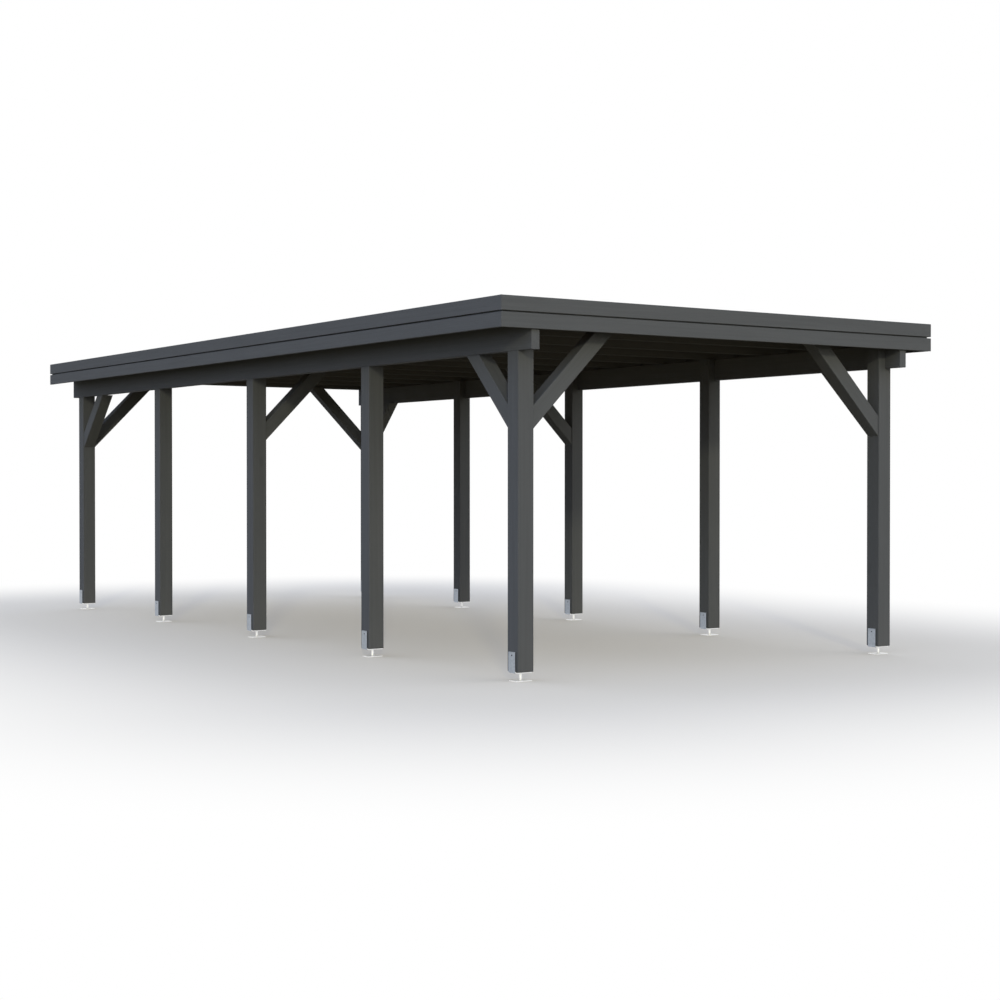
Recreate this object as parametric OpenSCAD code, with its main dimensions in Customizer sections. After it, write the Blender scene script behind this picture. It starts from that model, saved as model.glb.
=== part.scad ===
// Flat-roofed timber carport, open on all sides, on two rows of five posts.
// Frame: X across the front, Y along the carport to the rear, Z up.
// The origin is on the ground below the middle of the roof, and the front is at -Y.

/* [Posts] */
// Side of the square post
post = 120; // [90:5:160]
// Distance from one post to the next along a side
bay = 1900; // [1500:10:2400]
// Width over the outer faces of the two rows of posts
post_span = 3310; // [2800:10:4200]
// Height of the posts' feet above the ground
foot_height = 60; // [40:5:120]
// Chamfer planed along the edges of posts, beams, braces and rafters
arris = 3; // [1:0.5:6]
// Bevel round the posts' feet, and inner radius of the bends in the saddles that hold them
foot_bevel = 4; // [2:0.5:8]

/* [Post anchors] */
// Width of the base plate across the carport
base_width = 118; // [100:2:160]
// Depth of the base plate along the carport
base_depth = 84; // [70:2:120]
// Thickness of the base plate
base_thick = 5; // [4:1:10]
// Distance between the bolt holes across the carport
bolt_span = 84; // [60:2:86]
// Distance between the bolt holes along the carport
bolt_reach = 50; // [40:2:56]
// Diameter of the bolt holes in the base plate
bolt_hole = 11; // [9:1:14]
// Diameter of the stem between base plate and saddle
stem = 18; // [14:1:26]
// Thickness of the saddle's sheet steel
saddle_thick = 8; // [4:0.5:10]
// Width of the saddle and of its two cheeks
saddle_width = 76; // [60:2:90]
// Height of the cheeks above the post's foot
cheek_height = 128; // [90:2:200]
// Diameter of the spare screw hole in each cheek
cheek_hole = 11; // [8:1:14]
// Distance of that hole below the cheek's top
cheek_hole_drop = 21; // [16:1:40]

/* [Side beams] */
// Thickness of the beams
beam_thick = 60; // [40:5:80]
// Height of the beams
beam_height = 170; // [120:5:220]
// Height of the beams' undersides above the ground
beam_bottom = 2096; // [1950:2:2600]
// Length of beam past the outer faces of the end posts
beam_overhang = 148; // [80:2:300]

/* [Knee braces] */
// Side of the square brace
brace = 105; // [70:5:115]
// Length of post that a brace takes up below the beams' undersides
brace_drop = 496; // [360:2:700]

/* [Rafters] */
// Thickness of a rafter
rafter_thick = 60; // [40:5:80]
// Height of a rafter
rafter_height = 130; // [100:5:180]
// Rafter spaces in one bay between posts
rafters_per_bay = 3; // [2:1:4]
// Thickness of the edge board across the rafters' ends
edge_thick = 20; // [15:1:40]

/* [Roof] */
// Thickness of the deck on the rafters
deck_thick = 18; // [12:1:28]
// Thickness of the roofing sheet on the deck
sheet_thick = 3; // [2:0.5:6]

/* [Fascia] */
// Thickness of the fascia boards
board_thick = 20; // [15:1:30]
// Height of one fascia board
board_height = 94; // [80:1:115]
// Open gap between the upper and the lower board
board_gap = 10; // [4:1:14]
// Height of the fascia's top above the roofing sheet
board_rise = 3; // [0:1:30]
// Distance of the fascia's outer face from the posts' outer faces
side_overhang = 240; // [120:5:400]
// Chamfer along the edges of the fascia boards and edge boards
board_arris = 2; // [1:0.5:4]

/* [Hidden] */
$fn = 48;
// The rows hold five posts, numbered from the front
rows = 5;
// Cuts run this far past the faces that they open
cut = 10;
beam_top = beam_bottom + beam_height;
rafter_top = beam_top + rafter_height;
deck_top = rafter_top + deck_thick;
sheet_top = deck_top + sheet_thick;
fascia_top = sheet_top + board_rise;
// The roof's frame, without its fascia
roof_length = (rows - 1) * bay + post + 2 * beam_overhang;
roof_half = post_span / 2 + side_overhang - board_thick;
// The front fascia stands before the frame, and the origin is under the middle of both
roof_front = board_thick / 2 - roof_length / 2;
roof_rear = roof_front + roof_length;
post_x = post_span / 2 - post / 2;
rafter_pitch = bay / rafters_per_bay;
// The rafters end against the edge boards
rafter_half = roof_half - edge_thick;
// Height of a brace's lower edge where it meets its post
brace_foot = beam_bottom - brace_drop;
// Distance from a brace's lower edge to its axis, measured straight up
brace_lift = brace / sqrt(2);
painted = [0.31, 0.325, 0.335];
planed = [0.62, 0.5, 0.34];
galvanised = [0.66, 0.69, 0.72];
felt = [0.2, 0.2, 0.21];

function frame_y(row) = board_thick / 2 + (row - (rows + 1) / 2) * bay;

// The left half of the carport mirrors the right half
module sided(side) {
    if (side < 0)
        mirror([1, 0, 0]) children();
    else
        children();
}

// Planed timber along Z with its four edges chamfered
module timber(width, depth, length, edge) {
    x = width / 2;
    y = depth / 2;
    linear_extrude(height = length)
        polygon([
            [-x + edge, -y], [x - edge, -y], [x, -y + edge], [x, y - edge],
            [x - edge, y], [-x + edge, y], [-x, y - edge], [-x, -y + edge]
        ]);
}

// The space above two bevels that run along Y at the post's foot and would meet below its middle
module foot_bevels() {
    reach = post / 2 + cut;
    bevel_base = foot_height + foot_bevel - post / 2;
    rotate([90, 0, 0])
        linear_extrude(height = 2 * reach, center = true)
        polygon([
            [0, bevel_base], [reach, bevel_base + reach],
            [reach, beam_top + cut], [-reach, beam_top + cut], [-reach, bevel_base + reach]
        ]);
}

// A post stands on its anchor, and the outer half of its head is cut away as a seat for the beam
module post_piece(side, row) {
    color(painted)
        sided(side)
        translate([post_x, frame_y(row), 0])
        difference() {
            intersection() {
                translate([0, 0, foot_height])
                    timber(post, post, beam_top - foot_height, arris);
                foot_bevels();
                rotate([0, 0, 90])
                    foot_bevels();
            }
            translate([post / 2 - beam_thick, -post, beam_bottom])
                cube([beam_thick + cut, 2 * post, beam_height + cut]);
        }
}

// The saddle is one sheet of steel bent up against the inner and outer faces of the post
module saddle_profile() {
    bend_x = post / 2 - foot_bevel;
    bend_outside = foot_bevel + saddle_thick;
    translate([-bend_x, -saddle_thick])
        square([2 * bend_x, saddle_thick]);
    for (end = [-1, 1]) {
        translate([end * (post + saddle_thick) / 2, (cheek_height + foot_bevel) / 2])
            square([saddle_thick, cheek_height - foot_bevel], center = true);
        translate([end * bend_x, foot_bevel])
            intersection() {
                difference() {
                    circle(r = bend_outside);
                    circle(r = foot_bevel);
                }
                translate([end * bend_outside / 2, -bend_outside / 2])
                    square(bend_outside, center = true);
            }
    }
}

// A post anchor: base plate with four bolt holes, round stem and bent saddle, welded together
module anchor_piece(side, row) {
    color(galvanised)
        sided(side)
        translate([post_x, frame_y(row), 0])
        difference() {
            union() {
                translate([-base_width / 2, -base_depth / 2, 0])
                    cube([base_width, base_depth, base_thick]);
                cylinder(d = stem, h = foot_height - saddle_thick / 2);
                translate([0, 0, foot_height])
                    rotate([90, 0, 0])
                    linear_extrude(height = saddle_width, center = true)
                    saddle_profile();
            }
            for (x = [-1, 1], y = [-1, 1])
                translate([x * bolt_span / 2, y * bolt_reach / 2, -cut])
                    cylinder(d = bolt_hole, h = base_thick + 2 * cut);
            translate([0, 0, foot_height + cheek_height - cheek_hole_drop])
                rotate([0, 90, 0])
                cylinder(d = cheek_hole, h = post + 2 * saddle_thick + 2 * cut, center = true);
        }
}

// A side beam lies in the seats of its row of posts, flush with their outer faces
module beam_piece(side) {
    color(painted)
        sided(side)
        translate([post_span / 2 - beam_thick / 2, roof_front, (beam_bottom + beam_top) / 2])
        rotate([-90, 0, 0])
        timber(beam_thick, beam_height, roof_length, arris);
}

// A side brace runs at 45 degrees from a post to the beam, to the rear for way 1, to the front for way -1
module side_brace_piece(side, row, way) {
    rise = beam_bottom - brace_foot;
    color(painted)
        sided(side)
        translate([post_x, frame_y(row) + way * post / 2, 0])
        intersection() {
            translate([0, 0, brace_foot + brace_lift])
                rotate([-45 * way, 0, 0])
                translate([0, 0, -brace])
                timber(brace, brace, 2 * rise + brace, arris);
            translate([0, way * rise, brace_foot + rise / 2])
                cube([2 * brace, 2 * rise, rise], center = true);
        }
}

// A cross brace runs at 45 degrees from a post to the rafter over the two posts of its row
module cross_brace_piece(side, row) {
    rise = beam_top - brace_foot;
    color(painted)
        sided(side)
        translate([post_x - post / 2, frame_y(row), 0])
        intersection() {
            translate([0, 0, brace_foot + brace_lift])
                rotate([0, -45, 0])
                translate([0, 0, -brace])
                timber(brace, brace, 2 * rise + brace, arris);
            translate([-rise, 0, brace_foot + rise / 2])
                cube([2 * rise, 2 * brace, rise], center = true);
        }
}

// One rafter across both beams, centred on a distance along the carport
module rafter(y) {
    translate([-rafter_half, y, beam_top + rafter_height / 2])
        rotate([0, 90, 0])
        timber(rafter_height, rafter_thick, 2 * rafter_half, arris);
}

// Rafters over every pair of posts and between them, and one flush with each end of the beams
module rafters() {
    color(painted) {
        for (i = [0 : (rows - 1) * rafters_per_bay])
            rafter(frame_y(1) + i * rafter_pitch);
        rafter(roof_front + rafter_thick / 2);
        rafter(roof_rear - rafter_thick / 2);
    }
}

// An edge board closes the rafters' ends on one side, from the front of the roof to its rear
module edge_board(side) {
    color(painted)
        sided(side)
        translate([rafter_half + edge_thick / 2, roof_front, beam_top + rafter_height / 2])
        rotate([-90, 0, 0])
        timber(edge_thick, rafter_height, roof_length, board_arris);
}

// Boarded deck on the rafters
module roof_deck() {
    color(planed)
        translate([-roof_half, roof_front, rafter_top])
        cube([2 * roof_half, roof_length, deck_thick]);
}

// Roofing sheet over the whole deck, inside the fascia
module roof_sheet() {
    color(felt)
        translate([-roof_half, roof_front, deck_top])
        cube([2 * roof_half, roof_length, sheet_thick]);
}

// Height of a fascia board's middle: course 0 is the upper board, course 1 the lower one
function board_z(course) = fascia_top - board_height / 2 - course * (board_height + board_gap);

// The front boards cover the ends of the side boards
module front_board(course) {
    color(painted)
        translate([-roof_half - board_thick, roof_front - board_thick / 2, board_z(course)])
        rotate([0, 90, 0])
        timber(board_height, board_thick, 2 * (roof_half + board_thick), board_arris);
}

// The side boards are fixed to the edge boards
module side_board(side, course) {
    color(painted)
        sided(side)
        translate([roof_half + board_thick / 2, roof_front, board_z(course)])
        rotate([-90, 0, 0])
        timber(board_thick, board_height, roof_length, board_arris);
}

anchor_piece(-1, 1);  // anchor_left_1
anchor_piece(-1, 2);  // anchor_left_2
anchor_piece(-1, 3);  // anchor_left_3
anchor_piece(-1, 4);  // anchor_left_4
anchor_piece(-1, 5);  // anchor_left_5
anchor_piece(1, 1);  // anchor_right_1
anchor_piece(1, 2);  // anchor_right_2
anchor_piece(1, 3);  // anchor_right_3
anchor_piece(1, 4);  // anchor_right_4
anchor_piece(1, 5);  // anchor_right_5
post_piece(-1, 1);  // post_left_1
post_piece(-1, 2);  // post_left_2
post_piece(-1, 3);  // post_left_3
post_piece(-1, 4);  // post_left_4
post_piece(-1, 5);  // post_left_5
post_piece(1, 1);  // post_right_1
post_piece(1, 2);  // post_right_2
post_piece(1, 3);  // post_right_3
post_piece(1, 4);  // post_right_4
post_piece(1, 5);  // post_right_5
beam_piece(-1);  // beam_left
beam_piece(1);  // beam_right
side_brace_piece(-1, 1, 1);  // side_brace_left_front
side_brace_piece(-1, 5, -1);  // side_brace_left_rear
side_brace_piece(1, 1, 1);  // side_brace_right_front
side_brace_piece(1, 5, -1);  // side_brace_right_rear
cross_brace_piece(-1, 1);  // cross_brace_left_front
cross_brace_piece(-1, 3);  // cross_brace_left_middle
cross_brace_piece(-1, 5);  // cross_brace_left_rear
cross_brace_piece(1, 1);  // cross_brace_right_front
cross_brace_piece(1, 3);  // cross_brace_right_middle
cross_brace_piece(1, 5);  // cross_brace_right_rear
rafters();
edge_board(-1);  // edge_board_left
edge_board(1);  // edge_board_right
roof_deck();
roof_sheet();
front_board(0);  // fascia_front_upper
front_board(1);  // fascia_front_lower
side_board(-1, 0);  // fascia_left_upper
side_board(-1, 1);  // fascia_left_lower
side_board(1, 0);  // fascia_right_upper
side_board(1, 1);  // fascia_right_lower
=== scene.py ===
# Carport: a flat timber roof on two rows of five posts, painted anthracite grey, open on every side.
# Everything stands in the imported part's frame, in metres: X across the front, Y to the rear, Z up.
import math
import random

import bmesh
import bpy
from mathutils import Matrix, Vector


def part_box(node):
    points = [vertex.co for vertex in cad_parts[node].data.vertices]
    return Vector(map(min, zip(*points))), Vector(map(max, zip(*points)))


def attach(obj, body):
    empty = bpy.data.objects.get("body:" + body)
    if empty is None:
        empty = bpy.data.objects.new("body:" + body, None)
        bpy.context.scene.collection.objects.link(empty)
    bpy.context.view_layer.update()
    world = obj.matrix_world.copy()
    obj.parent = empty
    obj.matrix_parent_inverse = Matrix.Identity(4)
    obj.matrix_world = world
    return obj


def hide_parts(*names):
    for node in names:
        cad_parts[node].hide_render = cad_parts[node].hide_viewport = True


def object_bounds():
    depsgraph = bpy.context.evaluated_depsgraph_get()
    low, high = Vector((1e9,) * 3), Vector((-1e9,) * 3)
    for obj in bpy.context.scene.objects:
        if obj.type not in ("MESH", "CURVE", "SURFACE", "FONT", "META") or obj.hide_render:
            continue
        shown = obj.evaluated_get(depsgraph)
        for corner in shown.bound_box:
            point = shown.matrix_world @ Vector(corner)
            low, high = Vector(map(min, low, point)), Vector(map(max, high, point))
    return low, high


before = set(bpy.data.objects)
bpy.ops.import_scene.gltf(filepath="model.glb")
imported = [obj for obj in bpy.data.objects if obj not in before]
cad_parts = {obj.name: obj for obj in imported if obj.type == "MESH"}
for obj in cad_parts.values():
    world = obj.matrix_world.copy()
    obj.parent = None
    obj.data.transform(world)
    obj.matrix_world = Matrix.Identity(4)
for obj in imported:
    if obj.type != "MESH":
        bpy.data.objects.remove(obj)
solid_low, solid_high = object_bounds()

# The view: from before the front left corner, level with the middle of the posts.
# The lens is a short telephoto, so the far end of the roof stays large.
viewer = bpy.data.objects.new("viewer", bpy.data.cameras.new("viewer"))
viewer.data.sensor_width = 36.0
viewer.data.lens = 63.98
viewer.location = (-7.977, -13.108, 1.280)
viewer.rotation_euler = (math.radians(89.347), 0.0, math.radians(-33.745))
bpy.context.scene.collection.objects.link(viewer)
bpy.context.scene.camera = viewer

# Post anchors: a base plate and a round stem of bright zinc, welded under a saddle
# of thick galvanised sheet that holds the post's foot clear of the wet ground. The stem, the base plate
# and the saddle's front and rear edges are coloured far paler than the saddle, partly as painted
# highlight.
# The cheeks are dull, their front and rear edge faces are painted near black as painted shade, and each
# has one free hole.
SIDES = {"left": -1, "right": 1}
ROWS = (1, 2, 3, 4, 5)
PLATE_TOP = 0.005
STEM_RADIUS = 0.009
SADDLE_UNDER = 0.052
WELD_LEG = 0.004
WELD_ROOT = 0.001
SHEET_DARK = (0.29, 0.325, 0.375, 1)
SHEET_LIGHT = (0.43, 0.47, 0.525, 1)
# Pale zinc for the stem, the base plate and the saddle's front and rear edges, partly painted highlight
BRIGHT_DARK = (0.76, 0.765, 0.76, 1)
BRIGHT_LIGHT = (0.94, 0.94, 0.93, 1)
# Near black for the cheeks' front and rear edge faces: painted shade
CHEEK_EDGE_SHADE = (0.13, 0.14, 0.15, 1)
post_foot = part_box("post_left_1")[0].z


class Flow:
    """A value on its way through the nodes of a finish. Sums on it add Math nodes."""

    def __init__(self, tree, socket=None):
        self.tree = tree
        self.socket = socket

    def node(self, kind, settings=None, sockets=None, outlet=0):
        """Adds a node: its settings first, then what its sockets hold or are linked to."""
        made = self.tree.nodes.new(kind)
        for name, setting in (settings or {}).items():
            setattr(made, name, setting)
        for name, held in (sockets or {}).items():
            if isinstance(held, Flow):
                self.tree.links.new(held.socket, made.inputs[name])
            else:
                made.inputs[name].default_value = held
        return Flow(self.tree, made.outputs[outlet])

    def sum(self, operation, first, second):
        return self.node("ShaderNodeMath", {"operation": operation}, {0: first, 1: second})

    def __add__(self, other):
        return self.sum("ADD", self, other)

    def __sub__(self, other):
        return self.sum("SUBTRACT", self, other)

    def __rsub__(self, other):
        return self.sum("SUBTRACT", other, self)

    def __mul__(self, other):
        return self.sum("MULTIPLY", self, other)

    def __truediv__(self, other):
        return self.sum("DIVIDE", self, other)

    def __pow__(self, other):
        return self.sum("POWER", self, other)

    __radd__ = __add__


def start_finish(title):
    finish = bpy.data.materials.new(title)
    finish.use_nodes = True
    return finish, Flow(finish.node_tree)


def place_on(flow):
    """The point on the piece, in metres in the part's own frame."""
    return flow.node("ShaderNodeTexCoord", outlet="Object")


def axis_of(place, letter):
    return place.node("ShaderNodeSeparateXYZ", None, {0: place}, letter)


def stretched(place, scale):
    return place.node("ShaderNodeVectorMath", {"operation": "MULTIPLY"}, {0: place, 1: scale})


def clouds(place, per_metre, detail=3.0, rough=0.55):
    return place.node("ShaderNodeTexNoise", None,
                      {"Vector": place, "Scale": per_metre, "Detail": detail, "Roughness": rough}, "Fac")


def patchwork(place, per_metre, outlet):
    """Cells of random shape, as their colours or as the way to their middles."""
    return place.node("ShaderNodeTexVoronoi", {"feature": "F1"},
                      {"Vector": place, "Scale": per_metre}, outlet)


def step(value, low, high):
    """Runs softly from 0 to 1 between two values."""
    return value.node("ShaderNodeMapRange", {"interpolation_type": "SMOOTHSTEP"},
                      {"Value": value, "From Min": low, "From Max": high})


def tint(share, first, second):
    """Mixes two colours by a share of the second."""
    colours = {6: first, 7: second}
    return share.node("ShaderNodeMix", {"data_type": "RGBA"}, {0: share, **colours}, 2)


def lay_on(finish, colour, roughness, height, relief, constants):
    """Feeds a finish's shader; relief is the depth in metres that the height stands for."""
    shader = finish.node_tree.nodes["Principled BSDF"]
    links = finish.node_tree.links
    links.new(colour.socket, shader.inputs["Base Color"])
    links.new(roughness.socket, shader.inputs["Roughness"])
    bump = height.node("ShaderNodeBump", None, {"Strength": 1.0, "Distance": relief, "Height": height})
    links.new(bump.socket, shader.inputs["Normal"])
    for name, constant in constants.items():
        shader.inputs[name].default_value = constant
    return finish


def galvanised_steel():
    finish, flow = start_finish("galvanised_steel")
    place = place_on(flow)
    crystal = axis_of(patchwork(place, 95.0, "Color"), "X")
    bloom = clouds(place, 24.0, 4.0, 0.6)
    scuffs = clouds(stretched(place, (1.0, 1.0, 0.12)), 420.0, 2.0)
    saddle = step(axis_of(place, "Z"), SADDLE_UNDER - 0.0020, SADDLE_UNDER - 0.0005)
    cheeks = step(axis_of(place, "Z"), post_foot, post_foot + 0.006)
    facing = axis_of(place.node("ShaderNodeNewGeometry", outlet="True Normal"), "Y")
    # Faces turned to the front or rear: pale below the post's foot as painted highlight, near black on
    # the cheeks as painted shade
    front_or_rear_faces = step(facing * facing, 0.5, 0.7)
    sheet = tint(crystal * 0.6 + bloom * 0.4, SHEET_DARK, SHEET_LIGHT)
    # The stem and base plate are paler than the sheet, partly as painted highlight
    bright = tint(crystal * 0.5 + bloom * 0.5, BRIGHT_DARK, BRIGHT_LIGHT)
    colour = tint(saddle, bright, tint(front_or_rear_faces, sheet, tint(cheeks, bright, CHEEK_EDGE_SHADE)))
    roughness = 0.34 + crystal * 0.12 + scuffs * 0.08 + saddle * 0.06
    return lay_on(finish, colour, roughness, crystal * 0.4 + scuffs * 0.6, 0.00006,
                  {"Metallic": 1.0})


steel = galvanised_steel()


def dress(node, finish):
    """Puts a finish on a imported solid, whose shape stays as it is."""
    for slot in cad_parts[node].material_slots:
        slot.material = finish


for side in SIDES:
    for row in ROWS:
        dress(f"anchor_{side}_{row}", steel)


def new_piece(title, shape, finish, smooth=True):
    """Makes a mesh piece that belongs to the carport's one body."""
    bmesh.ops.recalc_face_normals(shape, faces=shape.faces)
    mesh = bpy.data.meshes.new(title)
    shape.to_mesh(mesh)
    shape.free()
    mesh.materials.append(finish)
    mesh.polygons.foreach_set("use_smooth", [smooth] * len(mesh.polygons))
    piece = bpy.data.objects.new(title, mesh)
    bpy.context.scene.collection.objects.link(piece)
    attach(piece, "root")
    return piece


def turned(shape, where, axis, profile, sides):
    """Turns a closed profile of (radius, height, lobe) about an axis; a lobe of 0 keeps it round."""
    frame_of = Vector(axis).to_track_quat("Z", "Y").to_matrix()
    loops = []
    for radius, height, lobe in profile:
        loop = []
        for i in range(sides):
            angle = math.tau * i / sides
            reach = radius * (1.0 + lobe * math.cos(6.0 * angle))
            spot = Vector((reach * math.cos(angle), reach * math.sin(angle), height))
            loop.append(shape.verts.new(Vector(where) + frame_of @ spot))
        loops.append(loop)
    for low, high in zip(loops, loops[1:]):
        for i in range(sides):
            shape.faces.new((low[i], low[i - 1], high[i - 1], high[i]))
    shape.faces.new(loops[0])
    shape.faces.new(list(reversed(loops[-1])))


weld_bead = [(STEM_RADIUS - WELD_ROOT, -WELD_ROOT, 0.0),
             (STEM_RADIUS + WELD_LEG, -WELD_ROOT, 0.0),
             (STEM_RADIUS + WELD_LEG * 0.92, 0.0010, 0.02),
             (STEM_RADIUS + WELD_LEG * 0.62, 0.0024, 0.03),
             (STEM_RADIUS + WELD_LEG * 0.26, 0.0035, 0.02),
             (STEM_RADIUS - WELD_ROOT, WELD_LEG, 0.0)]
welds = bmesh.new()
for side in SIDES:
    for row in ROWS:
        low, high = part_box(f"anchor_{side}_{row}")
        stem_foot = Vector(((low.x + high.x) / 2, (low.y + high.y) / 2, PLATE_TOP))
        stem_head = Vector((stem_foot.x, stem_foot.y, SADDLE_UNDER))
        turned(welds, stem_foot, (0, 0, 1), weld_bead, 48)
        turned(welds, stem_head, (0, 0, -1), weld_bead, 48)
new_piece("anchor_welds", welds, steel)

# Posts: planed softwood 120 mm square with chamfered edges, standing in the saddles.
# The outer half of each head is cut away for the beam, and two screws hold the tongue to it.
# Every timber of the frame has the same coat of anthracite paint, through which the grain shows.
PAINT_DARK = (0.0650, 0.0692, 0.0763, 1)
PAINT_LIGHT = (0.1008, 0.1062, 0.1158, 1)
PAINT_DUST = (0.15, 0.148, 0.145, 1)
SPLASH_TOP = 0.42


def painted_timber(title, lie, gloss=0.01, dusty=False):
    """Anthracite paint on planed timber; lie turns the Z axis to the run of the grain."""
    finish, flow = start_finish(title)
    place = place_on(flow)
    grain = place.node("ShaderNodeMapping", {"vector_type": "TEXTURE"},
                       {"Vector": place, "Rotation": lie})
    sway = clouds(stretched(grain, (1.0, 1.0, 0.3)), 3.0, 2.0)
    streaks = clouds(stretched(grain, (1.0, 1.0, 0.02)), 46.0, 4.0, 0.62)
    fibre = clouds(stretched(grain, (1.0, 1.0, 0.012)), 480.0, 2.0)
    across = axis_of(grain, "X") + axis_of(grain, "Y") * 0.6 + sway * 0.05
    rings = across.node("ShaderNodeMath", {"operation": "SINE"}, {0: across * 780.0}) * 0.5 + 0.5
    knot_way = patchwork(stretched(grain, (1.0, 1.0, 0.42)), 4.2, "Distance")
    knots = 1.0 - step(knot_way, 0.055, 0.105)
    patches = clouds(place, 1.7, 2.0)
    share = streaks * 0.62 + fibre * 0.22 + patches * 0.3 + rings * 0.08 - knots * 0.2 - 0.11
    colour = tint(share, PAINT_DARK, PAINT_LIGHT)
    if dusty:
        splash = 1.0 - step(axis_of(place, "Z"), post_foot, SPLASH_TOP)
        colour = tint(splash * patches * 0.16, colour, PAINT_DUST)
    roughness = 0.58 + fibre * 0.14 + patches * 0.12
    height = streaks * 0.35 + fibre * 0.3 + rings * 0.2 + knots * 0.3
    return lay_on(finish, colour, roughness, height, 0.0005, {"Specular IOR Level": gloss})


UPRIGHT = (0.0, 0.0, 0.0)
post_paint = painted_timber("painted_post", UPRIGHT, dusty=True)
for side in SIDES:
    for row in ROWS:
        dress(f"post_{side}_{row}", post_paint)

STAR_LOBE = 0.13
PLATE_HEAD = [(0.0072, -0.0010, 0.0), (0.0072, 0.0008, 0.0), (0.0060, 0.0022, 0.0),
              (0.0042, 0.0027, 0.0), (0.0029, 0.0027, STAR_LOBE), (0.0026, 0.0006, STAR_LOBE)]


def plate_screw(shape, seat, out):
    """A wide flat screw head with a star recess, driven down on the face at a seat."""
    turned(shape, seat, out, PLATE_HEAD, 24)


# Each screw's place across the post and its drop below the post's top
HEAD_SCREWS = ((-0.026, 0.045), (0.026, 0.125))
post_screws = bmesh.new()
for side, sign in SIDES.items():
    for row in ROWS:
        low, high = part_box(f"post_{side}_{row}")
        inner = low.x if sign > 0 else high.x
        middle = (low.y + high.y) / 2
        for across, drop in HEAD_SCREWS:
            plate_screw(post_screws, (inner, middle + across, high.z - drop), (-sign, 0, 0))
new_piece("post_head_screws", post_screws, post_paint)

# Side beams: one long planed timber for each row of posts, lying in the seats of the post heads
# flush with their outer faces, and running past the end posts to carry the roof's overhang.
RIGHT_ANGLE = math.pi / 2
TO_REAR = (-RIGHT_ANGLE, 0.0, 0.0)
beam_paint = painted_timber("painted_beam", TO_REAR)
for side in SIDES:
    dress(f"beam_{side}", beam_paint)

# Side braces: square timbers cut at 45 degrees, set between each end post and its beam.
# They stop the carport from swaying along its length, and screws go in from below.
SCREW_IN = 0.095
SCREW_SPREAD = 0.024
HALF_ANGLE = math.pi / 4
SLOPE = math.sqrt(0.5)


def brace_screws(shape, start, along, under, cross, length):
    """Pairs of screws near both ends of a brace's under face."""
    for travel in (SCREW_IN, length - SCREW_IN):
        for spread in (-SCREW_SPREAD, SCREW_SPREAD):
            plate_screw(shape, Vector(start) + Vector(along) * travel + Vector(cross) * spread, under)


for end, way in (("front", 1), ("rear", -1)):
    brace_paint = painted_timber(f"painted_side_brace_{end}", (-way * HALF_ANGLE, 0.0, 0.0))
    screws = bmesh.new()
    for side in SIDES:
        node = f"side_brace_{side}_{end}"
        dress(node, brace_paint)
        low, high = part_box(node)
        start = ((low.x + high.x) / 2, low.y if way > 0 else high.y, low.z)
        brace_screws(screws, start, (0, way * SLOPE, SLOPE), (0, way * SLOPE, -SLOPE), (1, 0, 0),
                     (high.z - low.z) / SLOPE)
    new_piece(f"side_brace_screws_{end}", screws, brace_paint)

# Cross braces: the same square timbers, from the first, third and fifth pairs of posts up to
# the rafter above them, which keep the carport square across its width.
for side, sign in SIDES.items():
    brace_paint = painted_timber(f"painted_cross_brace_{side}", (0.0, -sign * HALF_ANGLE, 0.0))
    screws = bmesh.new()
    for bay in ("front", "middle", "rear"):
        node = f"cross_brace_{side}_{bay}"
        dress(node, brace_paint)
        low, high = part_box(node)
        start = (high.x if sign > 0 else low.x, (low.y + high.y) / 2, low.z)
        brace_screws(screws, start, (-sign * SLOPE, 0, SLOPE), (-sign * SLOPE, 0, -SLOPE), (0, 1, 0),
                     (high.z - low.z) / SLOPE)
    new_piece(f"cross_brace_screws_{side}", screws, brace_paint)

# Rafters: planks on edge across both beams, three to a bay and one flush with each end.
# A thin edge board closes their ends on each side, so no daylight comes in behind the fascia.
ACROSS = (0.0, RIGHT_ANGLE, 0.0)
dress("rafters", painted_timber("painted_rafter", ACROSS, gloss=0.0))
edge_paint = painted_timber("painted_edge_board", TO_REAR, gloss=0.0)
for side in SIDES:
    dress(f"edge_board_{side}", edge_paint)

# Deck: tongue and groove boards of bare spruce nailed along the roof, the good face down.
# The lengths meet over rafters, which JOINTS counts from the middle one, and the joints of
# neighbouring courses are staggered.
COURSES = 31
SEAM = 0.0004
BOARD_V = 0.0022
TONGUE = 0.005
TONGUE_LOW = 0.0065
TONGUE_HIGH = 0.0110
TONGUE_PLAY = 0.001
GROOVE_PLAY = 0.0004
RAFTERS_TO_A_BAY = 3
JOINTS = ((0,), (-2, 3), (-4, 1, 5), (2, -3))
SPRUCE_PALE = (0.50, 0.36, 0.19, 1)
SPRUCE_DARK = (0.33, 0.20, 0.085, 1)
SPRUCE_KNOT = (0.12, 0.055, 0.022, 1)
deck_low, deck_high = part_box("roof_deck")
third_low, third_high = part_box("post_left_3")
fourth_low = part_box("post_left_4")[0]
course_width = (deck_high.x - deck_low.x) / COURSES
thick = deck_high.z - deck_low.z
middle_rafter = (third_low.y + third_high.y) / 2
rafter_pitch = (fourth_low.y - third_low.y) / RAFTERS_TO_A_BAY


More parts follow.
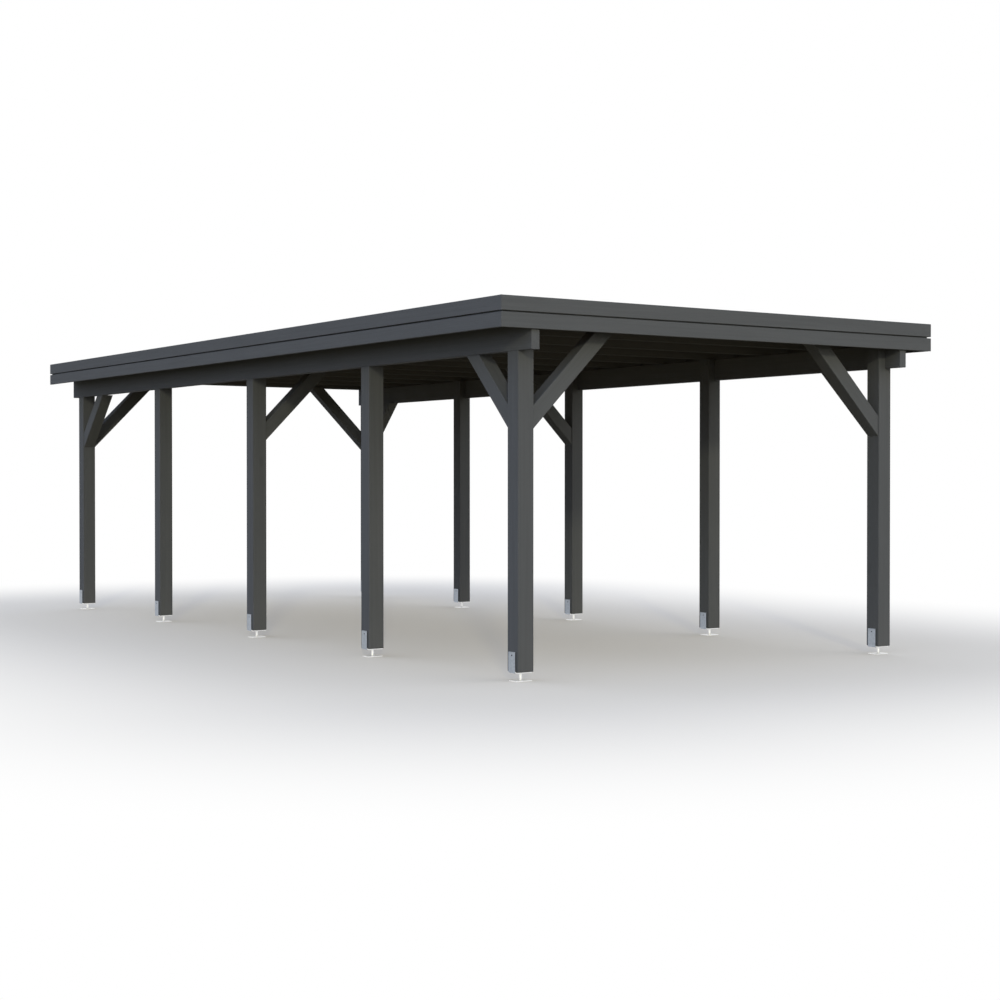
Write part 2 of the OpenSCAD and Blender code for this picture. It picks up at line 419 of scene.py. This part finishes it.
def bare_spruce():
    finish, flow = start_finish("bare_spruce")
    place = place_on(flow)
    course = flow.node("ShaderNodeMath", {"operation": "FLOOR"},
                       {0: (axis_of(place, "X") - deck_low.x) / course_width})
    lot = course.node("ShaderNodeTexWhiteNoise", {"noise_dimensions": "1D"}, {"W": course}, "Value")
    apart = course.node("ShaderNodeCombineXYZ", None,
                        {"X": axis_of(place, "X"), "Y": axis_of(place, "Y"),
                         "Z": axis_of(place, "Z") + lot * 7.0})
    streaks = clouds(stretched(apart, (1.0, 0.02, 1.0)), 60.0, 4.0, 0.6)
    sway = clouds(stretched(apart, (1.0, 0.3, 1.0)), 3.0, 2.0)
    across = axis_of(apart, "X") + sway * 0.09
    rings = across.node("ShaderNodeMath", {"operation": "SINE"}, {0: across * 620.0}) * 0.5 + 0.5
    knot_way = patchwork(stretched(apart, (1.0, 0.5, 1.0)), 4.5, "Distance")
    knots = 1.0 - step(knot_way, 0.05, 0.09)
    share = streaks * 0.6 + rings * rings * 0.35 + lot * 0.35 - 0.15
    colour = tint(knots, tint(share, SPRUCE_PALE, SPRUCE_DARK), SPRUCE_KNOT)
    return lay_on(finish, colour, 0.62 + streaks * 0.16, rings * 0.4 + streaks * 0.6, 0.0004,
                  {"Specular IOR Level": 0.25})


deck = bmesh.new()
for course in range(COURSES):
    left = deck_low.x + course * course_width + SEAM
    right = deck_low.x + (course + 1) * course_width - SEAM
    outline = [(left + BOARD_V, 0.0), (right - BOARD_V, 0.0), (right, BOARD_V)]
    if course < COURSES - 1:
        tip = right + SEAM + TONGUE - TONGUE_PLAY
        outline += [(right, TONGUE_LOW), (tip, TONGUE_LOW), (tip, TONGUE_HIGH), (right, TONGUE_HIGH)]
    outline += [(right, thick), (left, thick)]
    if course > 0:
        root = left - SEAM + TONGUE
        lip, sill = TONGUE_HIGH + GROOVE_PLAY, TONGUE_LOW - GROOVE_PLAY
        outline += [(left, lip), (root, lip), (root, sill), (left, sill)]
    outline += [(left, BOARD_V)]
    ends = [deck_low.y]
    ends += sorted(middle_rafter + rafter_pitch * joint for joint in JOINTS[course % len(JOINTS)])
    ends += [deck_high.y]
    for near, far in zip(ends, ends[1:]):
        front = [deck.verts.new((x, near + SEAM, deck_low.z + z)) for x, z in outline]
        back = [deck.verts.new((x, far - SEAM, deck_low.z + z)) for x, z in outline]
        deck.faces.new(front)
        deck.faces.new(list(reversed(back)))
        for i in range(len(outline)):
            deck.faces.new((front[i - 1], front[i], back[i], back[i - 1]))
deck_boards = new_piece("deck_boards", deck, bare_spruce(), smooth=False)
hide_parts("roof_deck")

# Roofing: strips of mineral-faced bitumen sheet laid across the deck from the rear edge, each
# lapped over the one behind it and cut close inside the fascia. The first strip is turned down
# over the rear ends of the deck boards.
STRIPS = 9
STEPS_ACROSS = 48
LAP = 0.090
LAP_RAMP = 0.02
LAP_GLUE = 0.0003
CUT_SLIP = 0.0025
SHEET_THICK = 0.0026
TURN_DOWN = 0.024
BITUMEN_DARK = (0.034, 0.032, 0.029, 1)
BITUMEN_LIGHT = (0.108, 0.100, 0.086, 1)
sheet_low, sheet_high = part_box("roof_sheet")


def mineral_sheet():
    finish, flow = start_finish("mineral_sheet")
    place = place_on(flow)
    grit = axis_of(patchwork(place, 520.0, "Color"), "X")
    stains = clouds(place, 1.3, 5.0, 0.6)
    wash = clouds(stretched(place, (1.0, 0.25, 1.0)), 7.0, 3.0)
    share = grit * 0.55 + stains * 0.5 + wash * 0.3 - 0.2
    colour = tint(share, BITUMEN_DARK, BITUMEN_LIGHT)
    return lay_on(finish, colour, 0.82 + grit * 0.12, grit, 0.0007, {"Specular IOR Level": 0.3})


sheets = bmesh.new()
cut = random.Random(21)
cover = (sheet_high.y - sheet_low.y) / STRIPS
for strip in range(STRIPS):
    rear = sheet_high.y - strip * cover
    front = max(rear - cover - LAP, sheet_low.y)
    rear_level = SHEET_THICK + LAP_GLUE if strip else 0.0
    run = [(rear, rear_level), (rear - LAP, rear_level), (rear - LAP - LAP_RAMP, 0.0), (front, 0.0)]
    rings_across = []
    for i in range(STEPS_ACROSS + 1):
        x = sheet_low.x + (sheet_high.x - sheet_low.x) * i / STEPS_ACROSS
        slip = cut.uniform(-CUT_SLIP, CUT_SLIP) if strip else 0.0
        path = [(y + (slip if k == 0 else 0.0), level) for k, (y, level) in enumerate(run)]
        over = [(x, y, sheet_low.z + level + SHEET_THICK) for y, level in path]
        under = [(x, y, sheet_low.z + level) for y, level in reversed(path)]
        if strip == 0:
            back = rear + SHEET_THICK
            over[:1] = [(x, back, sheet_low.z - TURN_DOWN), (x, back, sheet_low.z + SHEET_THICK)]
            under.append((x, rear, sheet_low.z - TURN_DOWN))
        rings_across.append([sheets.verts.new(spot) for spot in over + under])
    for near, far in zip(rings_across, rings_across[1:]):
        for k in range(len(near)):
            sheets.faces.new((near[k - 1], near[k], far[k], far[k - 1]))
    sheets.faces.new(list(reversed(rings_across[0])))
    sheets.faces.new(rings_across[-1])
roofing = new_piece("roofing_strips", sheets, mineral_sheet(), smooth=False)
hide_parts("roof_sheet")

# Fascia: two painted boards, one above the other with an open gap, round the front and both
# sides. The side boards are screwed to the edge boards, the front boards to the first rafter.
BOARD_SCREW = 0.0042
SUNK_HEAD = [(BOARD_SCREW * 0.6, -0.0020, 0.0), (BOARD_SCREW, -0.0002, 0.0),
             (BOARD_SCREW, 0.0003, 0.0), (BOARD_SCREW * 0.88, 0.0006, 0.0),
             (0.0021, 0.0005, STAR_LOBE), (0.0018, -0.0008, STAR_LOBE)]
LOWER_SCREW = 0.026
UPPER_SCREWS = (0.019, 0.059)
HALF_RAFTER = 0.030
FRONT_COLUMNS = 7
FRONT_INSET = 0.08
front_paint = painted_timber("painted_front_fascia", ACROSS)
side_paint = painted_timber("painted_side_fascia", TO_REAR)
for course in ("upper", "lower"):
    dress(f"fascia_front_{course}", front_paint)
    for side in SIDES:
        dress(f"fascia_{side}_{course}", side_paint)


def sunk_screw(shape, seat, out):
    """A small countersunk head with a star recess, level with the board and painted over."""
    turned(shape, seat, out, SUNK_HEAD, 24)


rafters_low, rafters_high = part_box("rafters")
rafter_lines = [rafters_low.y + HALF_RAFTER]
rafter_lines += [middle_rafter + rafter_pitch * i for i in range(-6, 7)]
rafter_lines += [rafters_high.y - HALF_RAFTER]
screw_levels = [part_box("fascia_front_lower")[1].z - LOWER_SCREW]
screw_levels += [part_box("fascia_front_upper")[0].z + rise for rise in UPPER_SCREWS]
for side, sign in SIDES.items():
    low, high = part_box(f"fascia_{side}_upper")
    face = high.x if sign > 0 else low.x
    screws = bmesh.new()
    for y in rafter_lines:
        for level in screw_levels:
            sunk_screw(screws, (face, y, level), (sign, 0, 0))
    new_piece(f"fascia_screws_{side}", screws, side_paint)
low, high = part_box("fascia_front_upper")
screws = bmesh.new()
column_run = high.x - low.x - 2 * FRONT_INSET
for i in range(FRONT_COLUMNS):
    x = low.x + FRONT_INSET + column_run * i / (FRONT_COLUMNS - 1)
    for level in screw_levels:
        sunk_screw(screws, (x, low.y, level), (0, -1, 0))
new_piece("fascia_screws_front", screws, front_paint)

# The set: a pale level floor that shows the carport's shadow and runs out into white.
# Light that bounces off it stays low, as from dull ground, so the roof is dark from below.
FLOOR_HALF = 60.0
FLOOR_COLOUR = (0.50, 0.468, 0.400, 1)
FLOOR_GLOW = 0.13
BOUNCE_COLOUR = (0.197, 0.165, 0.096, 1)
WHITE = (1, 1, 1, 1)
FADE_FROM = 0.6
FADE_TO = 4.5
floor_shape = bmesh.new()
floor_shape.faces.new([floor_shape.verts.new((x * FLOOR_HALF, y * FLOOR_HALF, 0.0))
                       for x, y in ((-1, -1), (1, -1), (1, 1), (-1, 1))])
floor_mesh = bpy.data.meshes.new("floor")
floor_shape.to_mesh(floor_mesh)
floor_shape.free()
floor = bpy.data.objects.new("floor", floor_mesh)
bpy.context.scene.collection.objects.link(floor)


def lens_rays(flow):
    return flow.node("ShaderNodeLightPath", outlet="Is Camera Ray")


def mirror_rays(flow):
    """1 for rays that show the set in metal or in glass."""
    return flow.sum("MAXIMUM", *(flow.node("ShaderNodeLightPath", outlet=kind)
                                 for kind in ("Is Glossy Ray", "Is Transmission Ray")))


def beyond(value, limit):
    """How far a value lies outside plus or minus a limit."""
    size = value.node("ShaderNodeMath", {"operation": "ABSOLUTE"}, {0: value})
    return value.sum("MAXIMUM", size - limit, 0.0)


floor_paint, flow = start_finish("floor")
flow.tree.nodes.remove(flow.tree.nodes["Principled BSDF"])
spot = flow.node("ShaderNodeNewGeometry", outlet="Position")
reach_x = beyond(axis_of(spot, "X"), solid_high.x)
reach_y = beyond(axis_of(spot, "Y"), solid_high.y)
away = step((reach_x * reach_x + reach_y * reach_y) ** 0.5, FADE_FROM, FADE_TO)
shown = flow.node("ShaderNodeAddShader", None, {
    0: flow.node("ShaderNodeBsdfDiffuse", None, {"Color": FLOOR_COLOUR}),
    1: flow.node("ShaderNodeEmission", None, {"Color": WHITE, "Strength": FLOOR_GLOW})})
white = flow.node("ShaderNodeEmission", None, {"Color": WHITE, "Strength": 1.0})
pale = flow.node("ShaderNodeMixShader", None, {0: away, 1: shown, 2: white})
dull_bounce = flow.node("ShaderNodeBsdfDiffuse", None, {"Color": BOUNCE_COLOUR})
unseen = flow.node("ShaderNodeMixShader", None, {0: mirror_rays(flow), 1: dull_bounce, 2: white})
both = flow.node("ShaderNodeMixShader", None, {0: lens_rays(flow), 1: unseen, 2: pale})
flow.tree.links.new(both.socket, flow.tree.nodes["Material Output"].inputs["Surface"])
floor_mesh.materials.append(floor_paint)

# Light: a soft sky, warm before the front and brightest at the front right, cooler at the sides and
# overhead, and one weak low lamp at the front left whose soft-edged light reaches in under the roof.
# The sky itself shows as plain white.
SKY_SIDES = (1.20, 1.34, 1.55, 1)
SKY_AHEAD = (1.51, 1.42, 1.13, 1)
SKY_AHEAD_RIGHT = (2.78, 2.60, 2.07, 1)
SKY_BEHIND = (1.60, 1.62, 1.62, 1)
SKY_ABOVE = (0.87, 1.01, 1.45, 1)
LAMP_WAY = (-0.58, -1.0, 0.33)
sky = bpy.data.worlds.new("even_sky")
sky.use_nodes = True
bpy.context.scene.world = sky
flow = Flow(sky.node_tree)
way = flow.node("ShaderNodeTexCoord", outlet="Generated")
ahead = flow.sum("MAXIMUM", axis_of(way, "Y") * -1.0, 0.0)
behind = flow.sum("MAXIMUM", axis_of(way, "Y"), 0.0)
above = flow.sum("MAXIMUM", axis_of(way, "Z"), 0.0)
to_right = flow.sum("MAXIMUM", axis_of(way, "X"), 0.0)
tone = tint(ahead, SKY_SIDES, SKY_AHEAD)
tone = tint(ahead * to_right * 2.0, tone, SKY_AHEAD_RIGHT)
tone = tint(behind, tone, SKY_BEHIND)
tone = tint(above, tone, SKY_ABOVE)
lighting = flow.node("ShaderNodeBackground", None, {"Color": tone, "Strength": 1.0})
backdrop = flow.node("ShaderNodeBackground", None, {"Color": WHITE, "Strength": 1.0})
seen = flow.sum("MAXIMUM", lens_rays(flow), mirror_rays(flow))
shown = flow.node("ShaderNodeMixShader", None, {0: seen, 1: lighting, 2: backdrop})
flow.tree.links.new(shown.socket, flow.tree.nodes["World Output"].inputs["Surface"])

lamp = bpy.data.objects.new("low_lamp", bpy.data.lights.new("low_lamp", "SUN"))
lamp.data.energy = 0.85
lamp.data.angle = math.radians(3.5)
lamp.data.color = (1.0, 0.925, 0.61)
lamp.rotation_mode = "QUATERNION"
lamp.rotation_quaternion = Vector(LAMP_WAY).to_track_quat("Z", "Y")
bpy.context.scene.collection.objects.link(lamp)
bpy.context.scene.view_settings.view_transform = "Standard"
